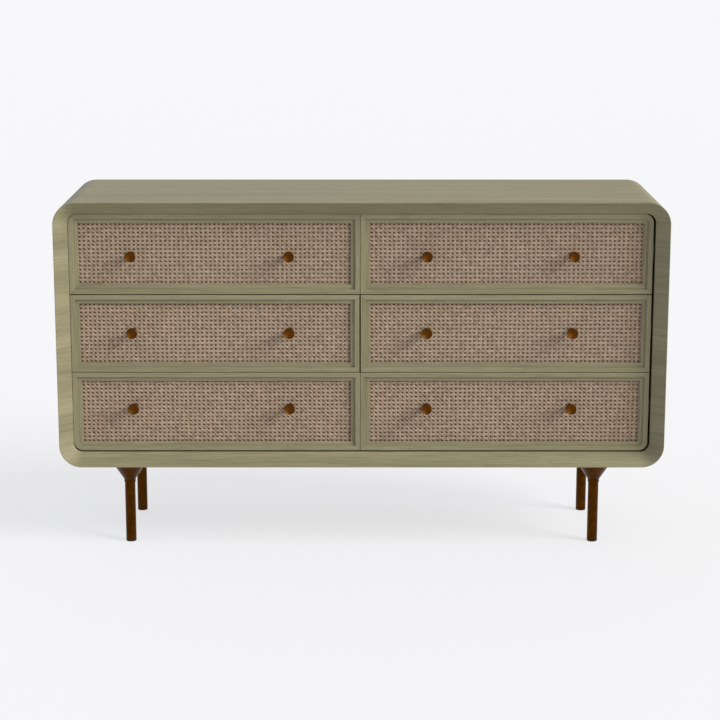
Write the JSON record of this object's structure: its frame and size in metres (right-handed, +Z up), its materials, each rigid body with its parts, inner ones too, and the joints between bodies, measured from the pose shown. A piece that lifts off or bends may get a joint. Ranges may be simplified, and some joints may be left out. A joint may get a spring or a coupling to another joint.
{
  "type": "dresser",
  "caption": "Wide low dresser with a rounded bevel-edged case, inset cane-panelled drawers on full-extension slides, round dished knobs and flared metal legs.",
  "frame": {"origin": "on the floor, under the middle of the case", "axes": "+X to the right along the width, as seen from the front; +Y to the back, so the drawers pull out along -Y; +Z up"},
  "size_m": [1.524, 0.447, 0.89],
  "materials": {
    "stained_oak": "sage-green stained oak, satin lacquer",
    "dark_board": "dark brown stained board, matt",
    "birch_board": "clear-lacquered birch board and plywood",
    "back_plywood": "stained plywood, matt",
    "cane": "stained cane webbing",
    "aged_bronze": "dark aged bronze, satin",
    "aged_brass": "aged brass, satin",
    "zinc_steel": "zinc-plated steel",
    "black_plastic": "moulded nylon"
  },
  "bodies": {
    "case": {"top_panel": "stained_oak", "bottom_panel": "stained_oak", "left_side_panel": "stained_oak", "right_side_panel": "stained_oak", "top_left_corner": "stained_oak", "top_right_corner": "stained_oak", "bottom_left_corner": "stained_oak", "bottom_right_corner": "stained_oak", "centre_divider": "dark_board", "back_panel": "back_plywood", "front_left_leg": "aged_bronze", "front_right_leg": "aged_bronze", "back_left_leg": "aged_bronze", "back_right_leg": "aged_bronze", "leg_bolts": "zinc_steel", "leg_inserts": "zinc_steel", "foot_glides": "black_plastic", "case_slides": "zinc_steel"},
    "drawer_top_left": {"front_frame_top_left": "stained_oak", "cane_panel_top_left": "cane", "front_board_top_left": "dark_board", "drawer_box_top_left": "birch_board", "knobs_top_left": "aged_brass", "drawer_slides_top_left": "zinc_steel"},
    "middle_slide_top_left": {"middle_slides_top_left": "zinc_steel"},
    "drawer_top_right": {"front_frame_top_right": "stained_oak", "cane_panel_top_right": "cane", "front_board_top_right": "dark_board", "drawer_box_top_right": "birch_board", "knobs_top_right": "aged_brass", "drawer_slides_top_right": "zinc_steel"},
    "middle_slide_top_right": {"middle_slides_top_right": "zinc_steel"},
    "drawer_middle_left": {"front_frame_middle_left": "stained_oak", "cane_panel_middle_left": "cane", "front_board_middle_left": "dark_board", "drawer_box_middle_left": "birch_board", "knobs_middle_left": "aged_brass", "drawer_slides_middle_left": "zinc_steel"},
    "middle_slide_middle_left": {"middle_slides_middle_left": "zinc_steel"},
    "drawer_middle_right": {"front_frame_middle_right": "stained_oak", "cane_panel_middle_right": "cane", "front_board_middle_right": "dark_board", "drawer_box_middle_right": "birch_board", "knobs_middle_right": "aged_brass", "drawer_slides_middle_right": "zinc_steel"},
    "middle_slide_middle_right": {"middle_slides_middle_right": "zinc_steel"},
    "drawer_bottom_left": {"front_frame_bottom_left": "stained_oak", "cane_panel_bottom_left": "cane", "front_board_bottom_left": "dark_board", "drawer_box_bottom_left": "birch_board", "knobs_bottom_left": "aged_brass", "drawer_slides_bottom_left": "zinc_steel"},
    "middle_slide_bottom_left": {"middle_slides_bottom_left": "zinc_steel"},
    "drawer_bottom_right": {"front_frame_bottom_right": "stained_oak", "cane_panel_bottom_right": "cane", "front_board_bottom_right": "dark_board", "drawer_box_bottom_right": "birch_board", "knobs_bottom_right": "aged_brass", "drawer_slides_bottom_right": "zinc_steel"},
    "middle_slide_bottom_right": {"middle_slides_bottom_right": "zinc_steel"}
  },
  "joints": [
    {"name": "drawer_top_left_slide", "type": "slide", "parent": "case", "child": "drawer_top_left", "axis": [0, -1, 0], "range_m": [0, 0.35]},
    {"name": "middle_slide_top_left_slide", "type": "slide", "parent": "case", "child": "middle_slide_top_left", "axis": [0, -1, 0], "range_m": [0, 0.175]},
    {"name": "drawer_top_right_slide", "type": "slide", "parent": "case", "child": "drawer_top_right", "axis": [0, -1, 0], "range_m": [0, 0.35]},
    {"name": "middle_slide_top_right_slide", "type": "slide", "parent": "case", "child": "middle_slide_top_right", "axis": [0, -1, 0], "range_m": [0, 0.175]},
    {"name": "drawer_middle_left_slide", "type": "slide", "parent": "case", "child": "drawer_middle_left", "axis": [0, -1, 0], "range_m": [0, 0.35]},
    {"name": "middle_slide_middle_left_slide", "type": "slide", "parent": "case", "child": "middle_slide_middle_left", "axis": [0, -1, 0], "range_m": [0, 0.175]},
    {"name": "drawer_middle_right_slide", "type": "slide", "parent": "case", "child": "drawer_middle_right", "axis": [0, -1, 0], "range_m": [0, 0.35]},
    {"name": "middle_slide_middle_right_slide", "type": "slide", "parent": "case", "child": "middle_slide_middle_right", "axis": [0, -1, 0], "range_m": [0, 0.175]},
    {"name": "drawer_bottom_left_slide", "type": "slide", "parent": "case", "child": "drawer_bottom_left", "axis": [0, -1, 0], "range_m": [0, 0.35]},
    {"name": "middle_slide_bottom_left_slide", "type": "slide", "parent": "case", "child": "middle_slide_bottom_left", "axis": [0, -1, 0], "range_m": [0, 0.175]},
    {"name": "drawer_bottom_right_slide", "type": "slide", "parent": "case", "child": "drawer_bottom_right", "axis": [0, -1, 0], "range_m": [0, 0.35]},
    {"name": "middle_slide_bottom_right_slide", "type": "slide", "parent": "case", "child": "middle_slide_bottom_right", "axis": [0, -1, 0], "range_m": [0, 0.175]}
  ],
  "couplings": [
    {"joint": "middle_slide_top_left_slide", "follows": "drawer_top_left_slide", "ratio": 0.5},
    {"joint": "middle_slide_top_right_slide", "follows": "drawer_top_right_slide", "ratio": 0.5},
    {"joint": "middle_slide_middle_left_slide", "follows": "drawer_middle_left_slide", "ratio": 0.5},
    {"joint": "middle_slide_middle_right_slide", "follows": "drawer_middle_right_slide", "ratio": 0.5},
    {"joint": "middle_slide_bottom_left_slide", "follows": "drawer_bottom_left_slide", "ratio": 0.5},
    {"joint": "middle_slide_bottom_right_slide", "follows": "drawer_bottom_right_slide", "ratio": 0.5}
  ]
}
